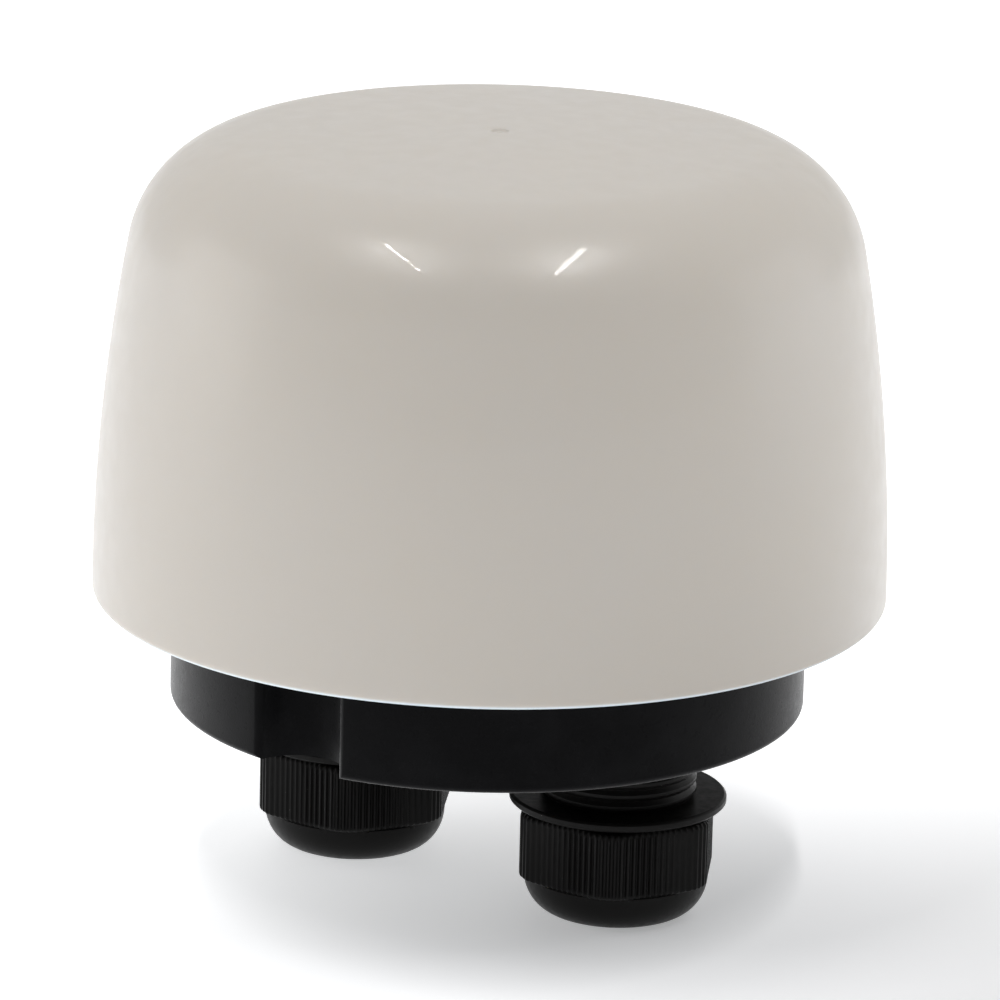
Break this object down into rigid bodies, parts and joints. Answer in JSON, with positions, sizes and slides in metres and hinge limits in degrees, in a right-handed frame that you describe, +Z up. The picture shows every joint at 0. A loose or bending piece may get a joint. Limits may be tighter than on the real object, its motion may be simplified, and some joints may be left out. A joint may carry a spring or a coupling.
{
  "type": "motorised actuator head",
  "caption": "Round motorised rotary actuator head: opal domed cover over a black base with cable glands beneath, holding a geared motor, limit switches and a terminal board.",
  "frame": {"origin": "on the output shaft's axis at the base's mounting face, midway between the two mounting threads", "axes": "+Z up along the output shaft towards the cover's crown, X through the two cable glands, Y through the two cover screws and the two mounting threads"},
  "size_m": [0.102, 0.102, 0.0989],
  "materials": {
    "opal_plastic": "smooth semi-gloss opal",
    "black_plastic": "fine matt moulding",
    "black_nylon": "satin nylon",
    "rubber": "matt",
    "brass": "turned",
    "bronze": "sintered",
    "steel": "bright zinc",
    "zinc_plate": "zinc-plated sheet",
    "acetal": "satin",
    "ivory_plastic": "satin",
    "copper": "enamelled wire",
    "magnet": "sintered ferrite",
    "red_plastic": "satin",
    "blue_plastic": "satin",
    "switch_plastic": "satin",
    "card": "pressed insulating card",
    "board": "solder mask",
    "green_plastic": "satin",
    "yellow_plastic": "gloss",
    "lamp": "tinted clear",
    "red_lead": "smooth insulation",
    "blue_lead": "smooth insulation"
  },
  "bodies": {
    "frame": {"cover_seal": "rubber", "base": "black_plastic", "cover_screws": "steel", "screw_seals": "rubber", "mount_inserts": "brass", "gland_body_left": "black_nylon", "gland_body_right": "black_nylon", "gland_seal_left": "rubber", "gland_seal_right": "rubber", "gland_nut_left": "black_nylon", "gland_nut_right": "black_nylon", "lower_bush": "bronze", "shaft_seal": "rubber", "upper_bush": "bronze", "lower_plate": "zinc_plate", "plate_pillars": "steel", "upper_plate": "zinc_plate", "chassis_screws": "steel", "first_axle": "steel", "second_axle": "steel", "motor_flange": "zinc_plate", "motor_cup": "steel", "motor_coil": "copper", "motor_screws": "steel", "switch_case_closed": "switch_plastic", "switch_case_open": "switch_plastic", "switch_insulator": "card", "switch_terminals": "brass", "switch_screws": "steel", "circuit_board": "board", "board_spacers": "acetal", "board_screws": "steel", "terminal_block": "green_plastic", "terminal_cages": "brass", "terminal_screws": "steel", "capacitor": "yellow_plastic", "status_lamps": "lamp", "motor_leads": "red_lead", "switch_leads": "blue_lead"},
    "cover": {"cover": "opal_plastic", "cover_inserts": "brass"},
    "output": {"output_shaft": "steel", "output_gear": "acetal", "cam_closed": "red_plastic", "cam_spacer": "acetal", "cam_open": "blue_plastic", "retaining_ring": "steel"},
    "second_idler": {"second_idler": "acetal"},
    "first_idler": {"first_idler": "ivory_plastic"},
    "rotor": {"rotor_magnet": "magnet", "rotor_shaft": "steel", "motor_pinion": "brass"},
    "lever_closed": {"switch_lever_closed": "steel"},
    "plunger_closed": {"switch_plunger_closed": "red_plastic"},
    "lever_open": {"switch_lever_open": "steel"},
    "plunger_open": {"switch_plunger_open": "red_plastic"}
  },
  "joints": [
    {"name": "cover_lift", "type": "slide", "parent": "frame", "child": "cover", "axis": [0, 0, 1], "range_m": [0, 0.075]},
    {"name": "output_turn", "type": "hinge", "parent": "frame", "child": "output", "pos_m": [0, 0, 0.02], "axis": [0, 0, 1], "range_deg": [0, 90]},
    {"name": "second_idler_turn", "type": "hinge", "parent": "frame", "child": "second_idler", "pos_m": [-0.01838, -0.01838, 0.025], "axis": [0, 0, 1], "range_deg": [-300, 0]},
    {"name": "first_idler_turn", "type": "hinge", "parent": "frame", "child": "first_idler", "pos_m": [-0.02599, -0.00207, 0.028], "axis": [0, 0, 1], "range_deg": [0, 900]},
    {"name": "rotor_turn", "type": "hinge", "parent": "frame", "child": "rotor", "pos_m": [-0.02356, 0.01212, 0.04], "axis": [0, 0, 1], "range_deg": [-2700, 0]},
    {"name": "lever_closed_turn", "type": "hinge", "parent": "frame", "child": "lever_closed", "pos_m": [-0.0082, -0.0162, 0.0377], "axis": [0, 0, 1], "range_deg": [0, 7.2]},
    {"name": "plunger_closed_travel", "type": "slide", "parent": "frame", "child": "plunger_closed", "axis": [0, 1, 0], "range_m": [0, 0.00062]},
    {"name": "lever_open_turn", "type": "hinge", "parent": "frame", "child": "lever_open", "pos_m": [-0.0082, -0.0162, 0.0447], "axis": [0, 0, 1], "range_deg": [-7.2, 0]},
    {"name": "plunger_open_travel", "type": "slide", "parent": "frame", "child": "plunger_open", "axis": [0, -1, 0], "range_m": [0, 0.00062]}
  ],
  "couplings": [
    {"joint": "second_idler_turn", "follows": "output_turn", "ratio": -3.3333},
    {"joint": "first_idler_turn", "follows": "output_turn", "ratio": 10},
    {"joint": "rotor_turn", "follows": "output_turn", "ratio": -30},
    {"joint": "lever_closed_turn", "follows": "output_turn", "ratio": 0.08},
    {"joint": "plunger_closed_travel", "follows": "output_turn", "m_per_rad": 0.0003947},
    {"joint": "lever_open_turn", "follows": "output_turn", "ratio": -0.08},
    {"joint": "plunger_open_travel", "follows": "output_turn", "m_per_rad": 0.0003947}
  ]
}
